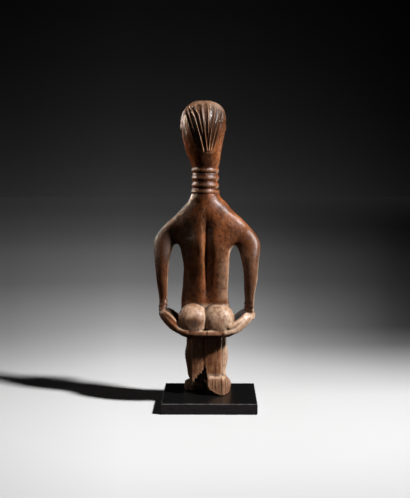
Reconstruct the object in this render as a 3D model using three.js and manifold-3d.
// Standing female figure carved from one block of wood, on a flat black plinth.
// Millimetres, +Z up. The figure faces -Y, and its left hand is on the +X side.
// The origin is the centre of the plinth's underside.
import * as THREE from "three";
import { mergeVertices } from "three/addons/utils/BufferGeometryUtils.js";
import Module from "manifold-3d";

const wasm = await Module();
wasm.setup();

// Driving dimensions. Heights are measured up from the plinth's top face.
const PLINTH_SIDE = 116;
const PLINTH_THICKNESS = 13;
const PLINTH_CHAMFER = 0.8;
const STANDING_GAP = 0.3;
const FIGURE_OFFSET_X = 5;

// Body, neck and head as one upright column: at each height the half-width, the reach to the back,
// the reach to the front and the sideways sway of the middle
const COLUMN = {
  height: [66, 76, 86, 96, 106, 118, 135, 155, 170, 180, 186, 192, 202, 210, 217, 225, 233, 240, 245,
    250, 257, 283, 288, 292, 297, 304, 313, 324, 335, 343, 351, 357, 361.5, 363.7],
  halfWidth: [20, 26, 30, 31, 30.4, 29.4, 28.6, 28.2, 29.4, 31, 34.6, 43, 51, 52.5, 47.4, 39, 30.5, 23.4,
    19.6, 17.3, 16.1, 16.4, 18, 19, 20.3, 22.2, 24.1, 26.3, 27.5, 27.5, 25.4, 21.4, 15.2, 9],
  back: [5, 8, 13, 15, 15, 14.4, 14, 14.8, 17, 18.8, 19.6, 19.8, 19.2, 18.2, 17.4, 16.8, 16.8, 16.6,
    16.6, 16.4, 16.1, 16.3, 17.6, 18.6, 20, 22.6, 25.6, 28.2, 29.2, 28, 24.4, 19.4, 13, 7.5],
  front: [14, 20, 25, 28, 29, 29.5, 27.5, 22.5, 19.5, 19, 19.5, 19.5, 18.5, 16.5, 15, 14, 13.8, 14,
    14.6, 15.2, 15.4, 15.8, 23.5, 30, 32.4, 33.4, 33.8, 33.6, 33.2, 31, 27, 22, 15, 9],
  sway: [0, 0, -0.4, -0.6, 0, 1, 0.4, -0.8, -0.3, 0.3, 0, -0.5, -1, -1.5, -1.4, -1, -1.2, -1.4,
    0, 0.3, 0.3, 0.3, 0.7, 1.2, 1.9, 2.5, 2.8, 2.8, 2.8, 2.5, 2, 1.8, 2.1, 2.4],
};
const COLUMN_ROWS = {
  body: [66, 77, 88, 99, 111, 123, 135, 147, 159, 171, 180, 185, 188, 191, 197, 203, 208, 213, 218, 223,
    229, 235, 240, 246],
  ringEdges: [-3.4, -1.6, 1.6, 3.4],
  head: [286, 288.5, 292, 297, 304, 312, 320, 328, 336, 344, 352, 358, 361.5, 363.7],
};
const COLUMN_SIDES = 30;
const BACK_SQUARENESS = 1.9;
const FRONT_SQUARENESS = 2.2;

const NECK_RING_HEIGHTS = [252.9, 260.7, 269.6, 279];
const NECK_RING_RISE = 1.1;
const NECK_RING_HALF_BREADTH = 3.4;
const NECK_GROOVE_SINK = 0.44;

// Head: turned a little towards the figure's left
const HEAD_TURN = THREE.MathUtils.degToRad(9);
const HEAD_TURN_HEIGHTS = [286, 300];
const HEAD_AXIS_X = 2.7;
const SKULL_MIDDLE = { y: -3, z: 322 };
const SKULL_TOP = 363.9;
const SKULL_REACHES = [4, 60];
const HALVINGS = 24;

// Hair: flutes between thin ribs, which fan up from the nape and end in arches below the crown. A smooth
// cap goes on over the crown to the forehead. Turns are measured from level at the back, up and over.
const RIB_X_AT_CROWN = [23.2, 19.6, 13.8, 8.7, 3.2, -3.2, -10.6, -16.4, -22];
const RIB_X_AT_NAPE = [10.6, 6.8, 3.6, 1.2, -1.2, -2.8, -4.8, -7.2, -9.8];
const CROWN_HEIGHT = 346;
const NAPE_HEIGHT = 302.5;
const NAPE_TURN = THREE.MathUtils.degToRad(-38);
const HAIRLINE_TURN = THREE.MathUtils.degToRad(132);
const FLUTE_END_TURNS = [THREE.MathUtils.degToRad(56), THREE.MathUtils.degToRad(67)];
const FLUTE_END_BREADTH = 0.09;
const FLUTE_SQUARENESS = 1.8;
const FAN_LIMIT = 1.25;
const HAIR_ROWS = 16;
const CELLS_PER_FLUTE = 3;
const RIB_RISE = 1.35;
const FLUTE_FLOOR = 0.1;
const CAP_SHARE = 0.4;
const HAIR_CORE_SHARE = 0.35;

// Arms: at each height the middle, half-width and half-depth, with the right arm a little broader
const ARM = {
  height: [218, 214, 208, 202, 195, 188, 180, 171, 159, 142, 125, 114, 108, 102],
  middle: [38, 40, 43.4, 46.6, 49.6, 51.6, 53, 54, 54.6, 54.2, 53.4, 53, 53, 53],
  halfWidth: [5, 8.4, 11.2, 12.9, 13.8, 13.8, 12.4, 10.2, 8.7, 7.3, 5.8, 4.9, 4.7, 4.7],
  halfDepth: [4, 7, 9.4, 10.6, 11.6, 12.2, 12.4, 11.7, 10.6, 9, 7.4, 6.6, 6.3, 6],
  back: [-7, -7, -7, -6.6, -5.6, -4, -1.6, 1.4, 3.4, 4.2, 3.6, 2.6, 2, 1.6],
};
const ARM_ROWS = [218, 212, 205, 197, 190, 186, 181, 174, 166, 156, 146, 136, 126, 118, 114.2, 112.5,
  110.5, 108, 106.3, 102];
const ARM_SIDES = 12;
const RIGHT_ARM = { broader: 1.07, outwards: 0.9 };
const BRACELET_HEIGHTS = [112.5, 108];
const BRACELET_RISE = 1;
const BRACELET_HALF_BREADTH = 1.7;
const BRACELET_TILT = 0.45;
const TILTED_FROM = [115, 125];

// Hands and thumbs: rows hold the distance to the side, y, height, half-width and half-height
const HANDS_MIDDLE_X = -1.8;
const HAND = [[54.3, 1, 98.4, 4.4, 6.6], [53.8, 5.6, 97.4, 3.9, 5.8], [52.2, 10.6, 95.4, 3.1, 5.2],
  [48.4, 15.2, 92, 2.8, 5.1], [43.3, 19.4, 88.2, 2.6, 5], [37, 23.2, 85, 2.4, 4], [31, 25.6, 83, 2.2, 2.6]];
const THUMBS_MIDDLE_X = -0.6;
const THUMB = {
  left: [[52.6, 4, 105, 2.4], [49.8, 9, 103.6, 2.3], [46.4, 14, 101.4, 2.1], [42, 18.6, 98.8, 1.6]],
  right: [[54, 5, 103.6, 3.2], [50.4, 11, 100.6, 3.2], [44, 17.5, 96.4, 3.2], [36, 22.6, 91.8, 3.1],
    [27, 26.8, 87.2, 2.2]],
};

// The trunk and arms turn a little to the figure's right: y falls by a share of x between these heights
const TRUNK_TWIST = { share: 0.2, from: [110, 140], to: [226, 246] };

// Skirt: a plate that flares from the hips to an oval rim, bent up at both sides
const SKIRT = {
  halfWidth: 60,
  halfDepth: 31,
  middleX: -1.8,
  rimTop: 82.6,
  sideRise: 23,
  risesOver: [0.34, 0.98],
  frontRise: 0.08,
  frontRisesOver: [0.3, 0.7],
  rimBottom: 77,
  bottomSideRise: 21,
  innerReach: 0.3,
};
const SKIRT_SECTORS = 40;

const BUTTOCK = {
  left: { x: 15.9, halfWidth: 17.2 },
  right: { x: -17.2, halfWidth: 17.8 },
  y: 12.5,
  z: 96.4,
  halfDepth: 17.2,
  halfHeight: 19.2,
  squareness: { above: 2.2, below: 3.8 },
};
const ROUND = { above: 2, below: 2 };

// Legs: rows of a calf hold height, y and half-depth; rows of a shin also place it outwards and hold its
// half-width. The left ankle is narrower.
const CALF = {
  left: { x: 10.35, half: 8.1 },
  right: { x: -9, half: 11.5 },
  rows: [[90, 4, 9.5], [74, 4, 9.4], [58, 4, 9], [44, 3.6, 9], [32, 3, 8.8], [12, 2.3, 8.5]],
  squareness: 5,
};
const SHIN = {
  rows: [[88, 13, -7, 12, 12], [72, 12.6, -9, 11.6, 13], [61, 12.4, -10, 11.6, 13.6],
    [48, 13.4, -11, 12.6, 13.4], [36, 12.8, -9.5, 12, 11.4], [28, 12.4, -8.5, 11, 10]],
  leftAnkle: [[21, 12.2, -9, 9.6, 10], [16, 12, -10, 8, 9.4], [8, 12.6, -11, 9, 9.4]],
  rightAnkle: [[20, 13, -9, 10.8, 10], [10, 13.6, -10, 11, 10]],
  rightOutwards: 2.2,
  squareness: 2.4,
};
const WEB_BETWEEN_ANKLES = [[52, 0.5, -9, 4, 4], [5, 0.5, -9, 5, 5]];

// Feet: each row holds y, the place outwards, the half-width and the height of the top
const FOOT = {
  left: [[-14, 20.5, 5.2, 9], [-16.5, 19.6, 7, 12], [-20, 17.2, 9.8, 13.4], [-26, 15.4, 12.2, 13],
    [-34, 14.8, 12.8, 10.5], [-44, 15, 12.4, 8.5], [-51, 15, 10, 5.5]],
  right: [[16, 12.8, 10.2, 19.6], [15, 12.8, 11, 22.2], [11, 13.2, 11.8, 23.4], [2, 14.6, 14, 22.8],
    [-5, 15.8, 14.6, 21], [-12, 16.4, 14.6, 20],
    [-23, 17.2, 14.2, 16], [-34, 17.8, 14.6, 11.5], [-44, 18, 14.2, 8.5], [-51, 17.8, 11.5, 5.5]],
  sides: 14,
  squareness: 3.2,
  middleShare: 0.35,
};

// Wood lost from the underside of the right heel and from the back of the left calf: seen from behind,
// two ends of the line above the loss, and how far forward it reaches
const LOST_RIGHT_HEEL = [[-21, -1.5], [1.5, 16], -12];
const LOST_LEFT_HEEL = [[2, 32], [22.5, 9], -8];
const WEDGE_SIZES = [30, 40];

const BREAST = { x: 14.5, rootY: -8, tipY: -42, rootZ: 203, tipZ: 191 };
const NAVEL = { y: -29.5, z: 131 };
const SPINE = { top: 226, bottom: 120, halfBreadth: 8, depth: 3.4, rise: 2 };

// Joins and cuts of closed meshes
const join = (pieces) => pieces.reduce((all, piece) => all.add(piece));

function asSolid(geometry) {
  const bare = geometry.clone();
  bare.deleteAttribute("normal");
  bare.deleteAttribute("uv");
  const merged = mergeVertices(bare, 1e-4);
  const vertProperties = Float32Array.from(merged.attributes.position.array);
  const triVerts = Uint32Array.from(merged.index.array);
  return new wasm.Manifold(new wasm.Mesh({ numProp: 3, vertProperties, triVerts }));
}

function asGeometry(solid) {
  const { vertProperties, triVerts } = solid.getMesh();
  const geometry = new THREE.BufferGeometry();
  geometry.setAttribute("position", new THREE.BufferAttribute(vertProperties, 3));
  geometry.setIndex(new THREE.BufferAttribute(triVerts, 1));
  geometry.computeVertexNormals();
  return geometry;
}

// A closed skin over rings of equally many points. Both ends are closed by a fan to the ring's middle,
// or, with looped true, the last ring meets the first.
function skin(rings, looped = false) {
  const count = rings[0].length;
  const points = rings.flat();
  const triangles = [];
  const spans = looped ? rings.length : rings.length - 1;
  for (let row = 0; row < spans; row += 1) {
    const next = (row + 1) % rings.length;
    for (let i = 0; i < count; i += 1) {
      const j = (i + 1) % count;
      const [a, b, c, d] = [row * count + i, row * count + j, next * count + j, next * count + i];
      triangles.push(a, b, c, a, c, d);
    }
  }
  const close = (row, flipped) => {
    const ring = rings[row];
    const middle = ring.reduce((sum, p) => sum.add(p), new THREE.Vector3()).divideScalar(count);
    points.push(middle);
    for (let i = 0; i < count; i += 1) {
      const [a, b] = [row * count + i, row * count + ((i + 1) % count)];
      triangles.push(...(flipped ? [b, a, points.length - 1] : [a, b, points.length - 1]));
    }
  };
  if (!looped) {
    close(0, true);
    close(rings.length - 1, false);
  }
  if (enclosedVolume(points, triangles) < 0) triangles.reverse();
  const geometry = new THREE.BufferGeometry().setFromPoints(points);
  geometry.setIndex(triangles);
  return asSolid(geometry);
}

function enclosedVolume(points, triangles) {
  let six = 0;
  for (let i = 0; i < triangles.length; i += 3) {
    const [a, b, c] = [0, 1, 2].map((k) => points[triangles[i + k]]);
    six += a.dot(new THREE.Vector3().crossVectors(b, c));
  }
  return six;
}

const steps = (from, to, count) =>
  Array.from({ length: count }, (_, i) => from + ((to - from) * i) / (count - 1));

const aroundCircle = (count) => Array.from({ length: count }, (_, i) => (2 * Math.PI * i) / count);

// A smooth curve through stations, with the slope at each one averaged from its neighbours
function curve(stations, values) {
  const slope = stations.map((_, i) => {
    const [a, b] = [Math.max(i - 1, 0), Math.min(i + 1, stations.length - 1)];
    return (values[b] - values[a]) / (stations[b] - stations[a]);
  });
  const up = stations[0] < stations[stations.length - 1] ? 1 : -1;
  return (at) => {
    let k = 0;
    while (k < stations.length - 2 && up * at > up * stations[k + 1]) k += 1;
    const span = stations[k + 1] - stations[k];
    const t = THREE.MathUtils.clamp((at - stations[k]) / span, 0, 1);
    const [t2, t3] = [t * t, t * t * t];
    return (
      values[k] * (2 * t3 - 3 * t2 + 1) + values[k + 1] * (3 * t2 - 2 * t3) +
      span * (slope[k] * (t3 - 2 * t2 + t) + slope[k + 1] * (t3 - t2))
    );
  };
}

const curves = (table, key) =>
  Object.fromEntries(
    Object.keys(table).filter((name) => name !== key).map((name) => [name, curve(table[key], table[name])]),
  );

// A round-topped bump of height 1 at a middle, which falls to 0 at half its breadth to either side
const bump = (at, middle, halfBreadth) => Math.max(0, 1 - ((at - middle) / halfBreadth) ** 2);

const ellipsePower = (value, squareness) => Math.sign(value) * Math.abs(value) ** (2 / squareness);

// A tube of oval sections along a path; each station holds its place and its half-width and half-height
function tube(stations, sides, squareness = 2) {
  const rings = stations.map((station, i) => {
    const before = stations[Math.max(i - 1, 0)].at;
    const after = stations[Math.min(i + 1, stations.length - 1)].at;
    const along = after.clone().sub(before).normalize();
    const reference = Math.abs(along.z) > 0.9 ? new THREE.Vector3(0, 1, 0) : new THREE.Vector3(0, 0, 1);
    const side = new THREE.Vector3().crossVectors(along, reference).normalize();
    const up = new THREE.Vector3().crossVectors(side, along);
    return aroundCircle(sides).map((t) =>
      station.at.clone()
        .addScaledVector(side, station.halfWidth * ellipsePower(Math.cos(t), squareness))
        .addScaledVector(up, station.halfHeight * ellipsePower(Math.sin(t), squareness)),
    );
  });
  return skin(rings);
}

const station = (x, y, z, halfWidth, halfHeight = halfWidth) => ({
  at: new THREE.Vector3(x, y, z), halfWidth, halfHeight,
});

// A ball stretched to three half-sizes. A squareness over 2 fills out its upright profile, with one
// value for the profile above the middle and one for below.
function ellipsoid(middle, halfSizes, sides, rows, { above, below } = ROUND) {
  const ball = new THREE.SphereGeometry(1, sides, rows).rotateX(Math.PI / 2);
  const places = ball.getAttribute("position");
  const point = new THREE.Vector3();
  for (let i = 0; i < places.count; i += 1) {
    point.fromBufferAttribute(places, i);
    const squareness = point.z > 0 ? above : below;
    const around = Math.hypot(point.x, point.y);
    const wider = around > 0 ? ellipsePower(around, squareness) / around : 1;
    point.set(point.x * wider, point.y * wider, ellipsePower(point.z, squareness));
    places.setXYZ(i, point.x, point.y, point.z);
  }
  ball.scale(...halfSizes).translate(...middle);
  return asSolid(ball);
}

// The head turns about its own axis, and the turn fades out down the neck
function turnHead(point) {
  const angle = HEAD_TURN * THREE.MathUtils.smoothstep(point.z, ...HEAD_TURN_HEIGHTS);
  const [x, y] = [point.x - HEAD_AXIS_X, point.y];
  point.x = HEAD_AXIS_X + x * Math.cos(angle) - y * Math.sin(angle);
  point.y = x * Math.sin(angle) + y * Math.cos(angle);
  return point;
}

// Body, neck and head
const column = curves(COLUMN, "height");

function neckSwell(height) {
  const nearest = Math.min(...NECK_RING_HEIGHTS.map((middle) => Math.abs(height - middle)));
  const [bottom, top] = [NECK_RING_HEIGHTS[0], NECK_RING_HEIGHTS.at(-1)];
  const onNeck = nearest <= NECK_RING_HALF_BREADTH || (height > bottom && height < top);
  return onNeck ? NECK_RING_RISE * bump(nearest, 0, NECK_RING_HALF_BREADTH) - NECK_GROOVE_SINK : 0;
}

function columnPoint(height, t) {
  const swell = neckSwell(height);
  const [c, s] = [Math.cos(t), Math.sin(t)];
  const squareness = s > 0 ? BACK_SQUARENESS : FRONT_SQUARENESS;
  const reach = (s > 0 ? column.back(height) : column.front(height)) + swell;
  const x = column.sway(height) + (column.halfWidth(height) + swell) * ellipsePower(c, squareness);
  return turnHead(new THREE.Vector3(x, reach * ellipsePower(s, squareness), height));
}

function makeColumn() {
  const neck = NECK_RING_HEIGHTS.flatMap((middle) => COLUMN_ROWS.ringEdges.map((edge) => middle + edge));
  const heights = [...COLUMN_ROWS.body, ...neck, ...COLUMN_ROWS.head];
  return skin(heights.map((h) => aroundCircle(COLUMN_SIDES).map((t) => columnPoint(h, t))));
}

// Where a point lies in the head: under 1 inside the bare skull, 1 on its surface, over 1 outside
function skullLevel(x, y, z) {
  if (z > SKULL_TOP) return 2;
  const angle = -HEAD_TURN * THREE.MathUtils.smoothstep(z, ...HEAD_TURN_HEIGHTS);
  const dx = x - HEAD_AXIS_X;
  const across = HEAD_AXIS_X + dx * Math.cos(angle) - y * Math.sin(angle) - column.sway(z);
  const away = dx * Math.sin(angle) + y * Math.cos(angle);
  const reach = away > 0 ? column.back(z) : column.front(z);
  const squareness = away > 0 ? BACK_SQUARENESS : FRONT_SQUARENESS;
  return Math.abs(across / column.halfWidth(z)) ** squareness + Math.abs(away / reach) ** squareness;
}

// The point of the skull at a sideways place, seen at a turn from the nape (0) up over the crown (90)
function overSkull(sidewaysAt, turn) {
  const place = (reach) => {
    const y = SKULL_MIDDLE.y + reach * Math.cos(turn);
    const z = SKULL_MIDDLE.z + reach * Math.sin(turn);
    return new THREE.Vector3(sidewaysAt(z), y, z);
  };
  let [inside, outside] = SKULL_REACHES;
  for (let i = 0; i < HALVINGS; i += 1) {
    const middle = (inside + outside) / 2;
    const { x, y, z } = place(middle);
    if (skullLevel(x, y, z) < 1) inside = middle;
    else outside = middle;
  }
  return { reach: inside, place };
}

// The hair's relief: 1 on the ribs at a flute's edges, hollowed in between, and level on the smooth cap
function hairRelief(across, turn) {
  const offMiddle = Math.abs(2 * across - 1);
  const [start, end] = FLUTE_END_TURNS;
  const archAt = end - (end - start) * offMiddle ** 2;
  const past = THREE.MathUtils.smoothstep(turn, archAt - FLUTE_END_BREADTH, archAt);
  return THREE.MathUtils.lerp(offMiddle ** FLUTE_SQUARENESS, CAP_SHARE, past);
}

function makeHair() {
  const flutes = RIB_X_AT_CROWN.length - 1;
  const lines = steps(0, flutes, flutes * CELLS_PER_FLUTE + 1);
  const crown = curve(RIB_X_AT_CROWN.map((_, i) => i), RIB_X_AT_CROWN);
  const nape = curve(RIB_X_AT_NAPE.map((_, i) => i), RIB_X_AT_NAPE);
  const rings = steps(NAPE_TURN, HAIRLINE_TURN, HAIR_ROWS).map((turn) => {
    const ring = lines.map((line) => {
      const sideways = (z) => {
        const share = (z - NAPE_HEIGHT) / (CROWN_HEIGHT - NAPE_HEIGHT);
        const up = THREE.MathUtils.clamp(share, 0, FAN_LIMIT);
        return nape(line) + (crown(line) - nape(line)) * up;
      };
      const { reach, place } = overSkull(sideways, turn);
      return place(reach + FLUTE_FLOOR + (RIB_RISE - FLUTE_FLOOR) * hairRelief(line % 1, turn));
    });
    const core = new THREE.Vector3(HEAD_AXIS_X, SKULL_MIDDLE.y, SKULL_MIDDLE.z);
    return [...ring, core.lerp(ring[Math.floor(lines.length / 2)], HAIR_CORE_SHARE)];
  });
  return skin(rings);
}

// Arms, bracelets and hands, for one side: 1 is the figure's left, -1 its right
const arm = curves(ARM, "height");

function makeArm(side) {
  const { broader, outwards } = side < 0 ? RIGHT_ARM : { broader: 1, outwards: 0 };
  const rings = ARM_ROWS.map((height) => {
    const bands = BRACELET_HEIGHTS.map((middle) => bump(height, middle, BRACELET_HALF_BREADTH));
    const rise = BRACELET_RISE * Math.max(...bands);
    const tilt = BRACELET_TILT * (1 - THREE.MathUtils.smoothstep(height, ...TILTED_FROM));
    return aroundCircle(ARM_SIDES).map((t) => {
      const across = (arm.halfWidth(height) * broader + rise) * Math.cos(t);
      const y = arm.back(height) + (arm.halfDepth(height) + rise) * Math.sin(t);
      return new THREE.Vector3(side * (arm.middle(height) + outwards + across), y, height - tilt * across);
    });
  });
  return skin(rings);
}

function makeHand(side) {
  return tube(HAND.map(([out, y, height, halfWidth, halfHeight]) =>
    station(side * out + HANDS_MIDDLE_X, y, height, halfWidth, halfHeight)), 10);
}

function makeThumb(side) {
  const rows = side > 0 ? THUMB.left : THUMB.right;
  return tube(rows.map(([out, y, height, radius]) =>
    station(side * out + THUMBS_MIDDLE_X, y, height, radius)), 8);
}

// Skirt: the plate's top and bottom heights at a sideways place
const sidewaysShare = (x) => Math.min(Math.abs(x - SKIRT.middleX) / SKIRT.halfWidth, 1);
const skirtTop = (x, y) => {
  const rise = SKIRT.sideRise * THREE.MathUtils.smoothstep(sidewaysShare(x), ...SKIRT.risesOver);
  const tilted = THREE.MathUtils.smoothstep(sidewaysShare(x), ...SKIRT.frontRisesOver);
  return SKIRT.rimTop + rise - SKIRT.frontRise * y * tilted;
};
const skirtBottom = (x) => SKIRT.rimBottom + SKIRT.bottomSideRise * sidewaysShare(x) ** 4.5;

function makeSkirt() {
  const section = [
    [SKIRT.innerReach, 1], [0.7, 1], [0.95, 1], [0.995, 0.8], [1, 0.4], [0.975, 0.06],
    [0.92, -0.04], [0.66, -0.2], [SKIRT.innerReach, -1],
  ];
  const rings = aroundCircle(SKIRT_SECTORS).map((turn) =>
    section.map(([reach, share]) => {
      const x = SKIRT.middleX + SKIRT.halfWidth * reach * Math.sin(turn);
      const y = SKIRT.halfDepth * reach * Math.cos(turn);
      const rimX = SKIRT.middleX + SKIRT.halfWidth * Math.sin(turn);
      const nearRim = THREE.MathUtils.smoothstep(reach, 0.6, 0.94);
      const bottomX = THREE.MathUtils.lerp(x, rimX, nearRim);
      const top = skirtTop(bottomX, y);
      return new THREE.Vector3(x, y, THREE.MathUtils.lerp(skirtBottom(bottomX), top, share));
    }),
  );
  return skin(rings, true);
}

// Legs: a flat-backed calf with a rounder knee and shin set further forward and outwards
function upright(stations, sides, squareness) {
  return skin(stations.map(([height, x, y, halfWidth, halfDepth]) =>
    aroundCircle(sides).map((t) => new THREE.Vector3(
      x + halfWidth * ellipsePower(Math.cos(t), squareness),
      y + halfDepth * ellipsePower(Math.sin(t), squareness),
      height,
    )),
  ));
}

function makeLeg(side) {
  const { x, half } = side > 0 ? CALF.left : CALF.right;
  const calf = upright(
    CALF.rows.map(([height, y, halfDepth]) => [height, x, y, half, halfDepth]), 12, CALF.squareness,
  );
  const ankle = side > 0 ? SHIN.leftAnkle : SHIN.rightAnkle;
  const outwards = side > 0 ? 0 : SHIN.rightOutwards;
  const shin = upright([...SHIN.rows, ...ankle].map(([height, out, y, halfWidth, halfDepth]) =>
    [height, side * (out + outwards), y, halfWidth, halfDepth]), 14, SHIN.squareness);
  return side > 0 ? calf.subtract(wedgeBelow(...LOST_LEFT_HEEL)).add(shin) : calf.add(shin);
}

// Feet: long and low, flat below
function makeFoot(side) {
  const rows = side > 0 ? FOOT.left : FOOT.right;
  const { sides, squareness, middleShare } = FOOT;
  const foot = skin(rows.map(([y, x, halfWidth, top]) => aroundCircle(sides).map((t) => {
    const upShare = middleShare + (1 - middleShare) * ellipsePower(Math.sin(t), squareness);
    const across = halfWidth * ellipsePower(Math.cos(t), squareness);
    return new THREE.Vector3(side * x + across, y, Math.max(0, top * upShare));
  })));
  return side > 0 ? foot : foot.subtract(wedgeBelow(...LOST_RIGHT_HEEL));
}

// A block whose upper face passes through a line seen from behind; it runs back from a depth
function wedgeBelow(from, to, frontAt) {
  const line = new THREE.Vector2(to[0] - from[0], to[1] - from[1]);
  const [depth, back] = WEDGE_SIZES;
  const block = new THREE.BoxGeometry(line.length(), back, depth);
  block.translate(line.length() / 2, frontAt + back / 2, -depth / 2);
  block.rotateY(-line.angle());
  block.translate(from[0], 0, from[1]);
  return asSolid(block);
}

// A wide furrow down the middle of the back, deepest along its middle and fading at both ends
function makeFurrow() {
  const { top, bottom, halfBreadth, depth, rise } = SPINE;
  const slope = (depth + rise) / depth;
  const rings = steps(bottom, top, 12).map((height) => {
    const share = (height - bottom) / (top - bottom);
    const fade = Math.sin(Math.PI * share) ** 0.6;
    const surface = column.back(height);
    const half = (0.3 + 0.7 * fade) * halfBreadth * slope;
    return [
      new THREE.Vector3(-half, surface + rise, height),
      new THREE.Vector3(0, surface - depth * fade, height),
      new THREE.Vector3(half, surface + rise, height),
    ];
  });
  return skin(rings);
}

// Face: calm and plain, with the eyes half way up the head and the nose and mouth below at even steps
function makeFace() {
  const nose = tube([
    station(0, -31, 334, 2.4, 3), station(0, -33.4, 329, 2, 2.6), station(0, -35.6, 321, 2.3, 2.8),
    station(0, -37.6, 314.5, 3.6, 3.2), station(0, -37, 311, 4, 2.6), station(0, -33, 309.5, 3, 2),
  ], 8);
  const pieces = [nose];
  for (const side of [1, -1]) {
    pieces.push(ellipsoid([side * 9.6, -31.2, 325.5], [5, 3, 2.2], 10, 5));
    pieces.push(tube([
      station(side * 3, -32.4, 331.5, 1.6), station(side * 9, -31.8, 333.4, 1.9),
      station(side * 15.5, -27, 332, 1.6), station(side * 20, -21, 328.5, 1),
    ], 6));
    pieces.push(ellipsoid([side * 25.8, -1, 332], [2.9, 4.4, 6], 8, 6));
  }
  pieces.push(ellipsoid([0, -33.2, 303.4], [6.6, 2.2, 1.5], 10, 4));
  pieces.push(ellipsoid([0, -32.9, 300.2], [5.4, 2.2, 1.5], 10, 4));
  return pieces.map((piece) => piece.warp((p) => {
    const turned = turnHead(new THREE.Vector3(p[0] + HEAD_AXIS_X, p[1], p[2]));
    [p[0], p[1], p[2]] = [turned.x, turned.y, turned.z];
  }));
}

function makeBreast(side) {
  const { x, rootY, tipY, rootZ, tipZ } = BREAST;
  const reach = [[0, 14], [0.35, 12.6], [0.6, 9.6], [0.82, 5.4], [0.93, 3.1], [1, 1.6]];
  return tube(reach.map(([share, radius]) => station(
    side * (x + 2 * share), THREE.MathUtils.lerp(rootY, tipY, share),
    THREE.MathUtils.lerp(rootZ, tipZ, share), radius,
  )), 12);
}

// Turns the trunk, the arms and what lies on them a little to the figure's right
function twisted(solid) {
  const { share, from, to } = TRUNK_TWIST;
  return solid.warp((p) => {
    const here = THREE.MathUtils.smoothstep(p[2], ...from) * (1 - THREE.MathUtils.smoothstep(p[2], ...to));
    p[1] -= share * here * p[0];
  });
}

function makeButtock(side) {
  const { x, halfWidth } = side > 0 ? BUTTOCK.left : BUTTOCK.right;
  const { y, z, halfDepth, halfHeight, squareness } = BUTTOCK;
  return ellipsoid([x, y, z], [halfWidth, halfDepth, halfHeight], 18, 10, squareness);
}

function makeFigure() {
  const pieces = [twisted(makeColumn()), makeHair(), makeSkirt(), ...makeFace()];
  for (const side of [1, -1]) {
    pieces.push(twisted(makeArm(side)), makeHand(side), makeThumb(side), makeButtock(side), makeLeg(side),
      makeFoot(side), twisted(makeBreast(side)));
  }
  pieces.push(twisted(ellipsoid([0, NAVEL.y, NAVEL.z], [3, 3.2, 3], 8, 6)));
  pieces.push(upright(WEB_BETWEEN_ANKLES, 8, SHIN.squareness));
  return join(pieces).subtract(twisted(makeFurrow()));
}

function makePlinth() {
  const half = PLINTH_SIDE / 2;
  const square = new THREE.Shape([
    new THREE.Vector2(-half, -half), new THREE.Vector2(half, -half),
    new THREE.Vector2(half, half), new THREE.Vector2(-half, half),
  ]);
  const slab = new THREE.ExtrudeGeometry(square, {
    depth: PLINTH_THICKNESS - 2 * PLINTH_CHAMFER, bevelEnabled: true, bevelThickness: PLINTH_CHAMFER,
    bevelSize: PLINTH_CHAMFER, bevelOffset: -PLINTH_CHAMFER, bevelSegments: 1,
  });
  slab.translate(0, 0, PLINTH_CHAMFER);
  return asSolid(slab);
}

function mesh(name, solid, look) {
  const made = new THREE.Mesh(asGeometry(solid), new THREE.MeshStandardMaterial(look));
  made.name = name;
  return made;
}

const object = new THREE.Group();
const figure = mesh("figure", makeFigure(), { color: 0x4a2a1e, roughness: 0.5, metalness: 0 });
figure.position.set(FIGURE_OFFSET_X, 0, PLINTH_THICKNESS + STANDING_GAP);
const plinth = mesh("plinth", makePlinth(), { color: 0x0b0b0c, roughness: 0.35, metalness: 0 });
object.add(figure, plinth);

export default object;
